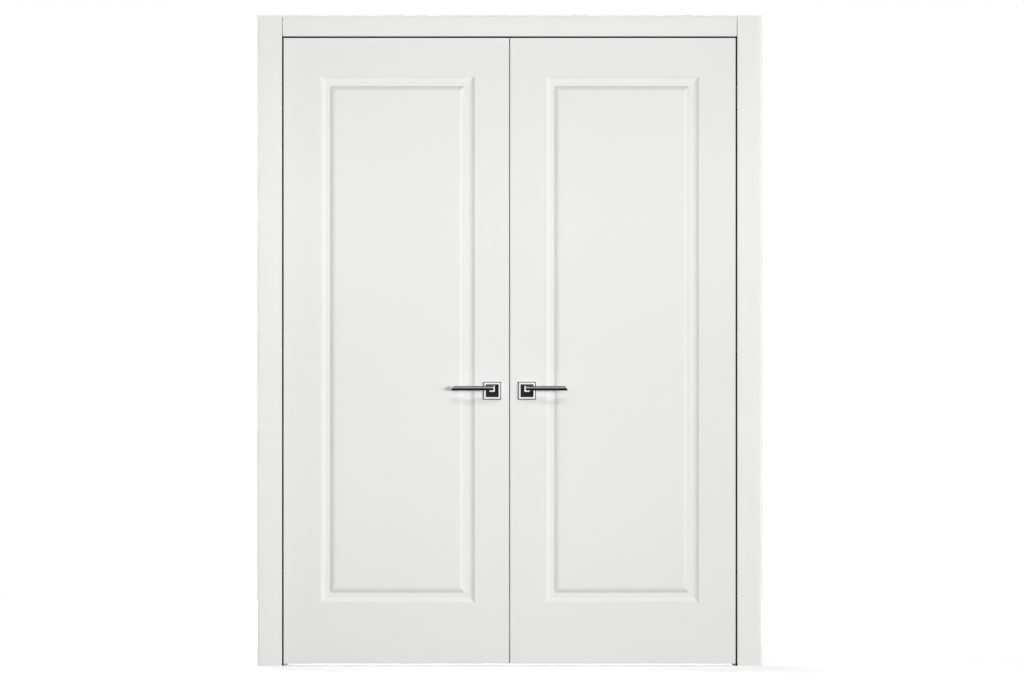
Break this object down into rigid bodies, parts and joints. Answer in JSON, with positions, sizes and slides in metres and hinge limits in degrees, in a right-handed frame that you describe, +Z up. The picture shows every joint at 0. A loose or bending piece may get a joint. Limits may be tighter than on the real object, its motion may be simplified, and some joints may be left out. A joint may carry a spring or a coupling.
{
  "type": "interior double door with frame",
  "caption": "White double door in its frame: leaves with one routed panel, chrome levers on square roses, concealed hinges, a magnetic latch and flush bolts.",
  "frame": {"origin": "on the floor, at the bottom centre of the whole set's box", "axes": "+X to the right seen from the front, +Y from the front to the back, +Z up; the leaves open towards -Y"},
  "size_m": [1.637, 0.175, 2.1125],
  "materials": {
    "white_lacquer": "satin white lacquer on fibreboard",
    "polished_chrome": "polished",
    "hinge_metal": "satin black",
    "satin_steel": "satin",
    "seal_rubber": "matte black",
    "brass": "plain",
    "magnet": "plain ferrite"
  },
  "bodies": {
    "frame": {"left_jamb": "white_lacquer", "right_jamb": "white_lacquer", "head_jamb": "white_lacquer", "left_front_casing": "white_lacquer", "right_front_casing": "white_lacquer", "head_front_casing": "white_lacquer", "left_rear_casing": "white_lacquer", "right_rear_casing": "white_lacquer", "head_rear_casing": "white_lacquer", "left_seal": "seal_rubber", "right_seal": "seal_rubber", "head_seal": "seal_rubber", "head_keeper": "satin_steel", "left_top_frame_cup": "hinge_metal", "left_middle_frame_cup": "hinge_metal", "left_bottom_frame_cup": "hinge_metal", "right_top_frame_cup": "hinge_metal", "right_middle_frame_cup": "hinge_metal", "right_bottom_frame_cup": "hinge_metal"},
    "left_leaf": {"left_leaf": "white_lacquer", "meeting_seal": "seal_rubber", "strike_plate": "satin_steel", "strike_magnet": "magnet", "top_bolt_case": "satin_steel", "bottom_bolt_case": "satin_steel", "left_front_rose": "polished_chrome", "left_rear_rose": "polished_chrome", "left_top_leaf_cup": "hinge_metal", "left_middle_leaf_cup": "hinge_metal", "left_bottom_leaf_cup": "hinge_metal"},
    "right_leaf": {"right_leaf": "white_lacquer", "right_meeting_seal": "seal_rubber", "lock_case": "satin_steel", "right_front_rose": "polished_chrome", "right_rear_rose": "polished_chrome", "right_top_leaf_cup": "hinge_metal", "right_middle_leaf_cup": "hinge_metal", "right_bottom_leaf_cup": "hinge_metal"},
    "left_frame_arms": {"left_top_frame_arm": "hinge_metal", "left_middle_frame_arm": "hinge_metal", "left_bottom_frame_arm": "hinge_metal"},
    "left_leaf_arms": {"left_top_leaf_arm": "hinge_metal", "left_middle_leaf_arm": "hinge_metal", "left_bottom_leaf_arm": "hinge_metal"},
    "right_frame_arms": {"right_top_frame_arm": "hinge_metal", "right_middle_frame_arm": "hinge_metal", "right_bottom_frame_arm": "hinge_metal"},
    "right_leaf_arms": {"right_top_leaf_arm": "hinge_metal", "right_middle_leaf_arm": "hinge_metal", "right_bottom_leaf_arm": "hinge_metal"},
    "left_handle": {"left_front_lever": "polished_chrome", "left_rear_lever": "polished_chrome", "left_spindle": "satin_steel"},
    "right_handle": {"right_front_lever": "polished_chrome", "right_rear_lever": "polished_chrome", "right_spindle": "satin_steel", "lock_follower": "brass"},
    "latch": {"latch_bolt": "satin_steel"},
    "top_bolt": {"top_bolt_rod": "satin_steel"},
    "bottom_bolt": {"bottom_bolt_rod": "satin_steel"}
  },
  "joints": [
    {"name": "left_swing", "type": "hinge", "parent": "frame", "child": "left_leaf", "pos_m": [-0.7365, -0.0395, 1.053], "axis": [0, 0, -1], "range_deg": [0, 100]},
    {"name": "left_frame_arm_turn", "type": "hinge", "parent": "frame", "child": "left_frame_arms", "pos_m": [-0.7435, -0.0275, 1.053], "axis": [0, 0, -1], "range_deg": [0, 100]},
    {"name": "left_leaf_arm_turn", "type": "hinge", "parent": "left_leaf", "child": "left_leaf_arms", "pos_m": [-0.7295, -0.0275, 1.053], "axis": [0, 0, -1], "range_deg": [-100, 0]},
    {"name": "left_lever_turn", "type": "hinge", "parent": "left_leaf", "child": "left_handle", "pos_m": [-0.0565, -0.0155, 0.894], "axis": [0, -1, 0], "range_deg": [0, 45], "stiffness_Nm_per_rad": 1.5, "springref_deg": -34.38},
    {"name": "right_swing", "type": "hinge", "parent": "frame", "child": "right_leaf", "pos_m": [0.7365, -0.0395, 1.053], "axis": [0, 0, 1], "range_deg": [0, 100]},
    {"name": "right_frame_arm_turn", "type": "hinge", "parent": "frame", "child": "right_frame_arms", "pos_m": [0.7435, -0.0275, 1.053], "axis": [0, 0, 1], "range_deg": [0, 100]},
    {"name": "right_leaf_arm_turn", "type": "hinge", "parent": "right_leaf", "child": "right_leaf_arms", "pos_m": [0.7295, -0.0275, 1.053], "axis": [0, 0, 1], "range_deg": [-100, 0]},
    {"name": "right_lever_turn", "type": "hinge", "parent": "right_leaf", "child": "right_handle", "pos_m": [0.0565, -0.0155, 0.894], "axis": [0, 1, 0], "range_deg": [0, 45], "stiffness_Nm_per_rad": 1.5, "springref_deg": -34.38},
    {"name": "latch_slide", "type": "slide", "parent": "right_leaf", "child": "latch", "axis": [-1, 0, 0], "range_m": [0, 0.012]},
    {"name": "top_bolt_slide", "type": "slide", "parent": "left_leaf", "child": "top_bolt", "axis": [0, 0, 1], "range_m": [0, 0.016]},
    {"name": "bottom_bolt_slide", "type": "slide", "parent": "left_leaf", "child": "bottom_bolt", "axis": [0, 0, -1], "range_m": [0, 0.016]}
  ],
  "couplings": [
    {"joint": "left_frame_arm_turn", "follows": "left_swing", "ratio": 1},
    {"joint": "left_leaf_arm_turn", "follows": "left_swing", "ratio": -1},
    {"joint": "right_frame_arm_turn", "follows": "right_swing", "ratio": 1},
    {"joint": "right_leaf_arm_turn", "follows": "right_swing", "ratio": -1}
  ]
}
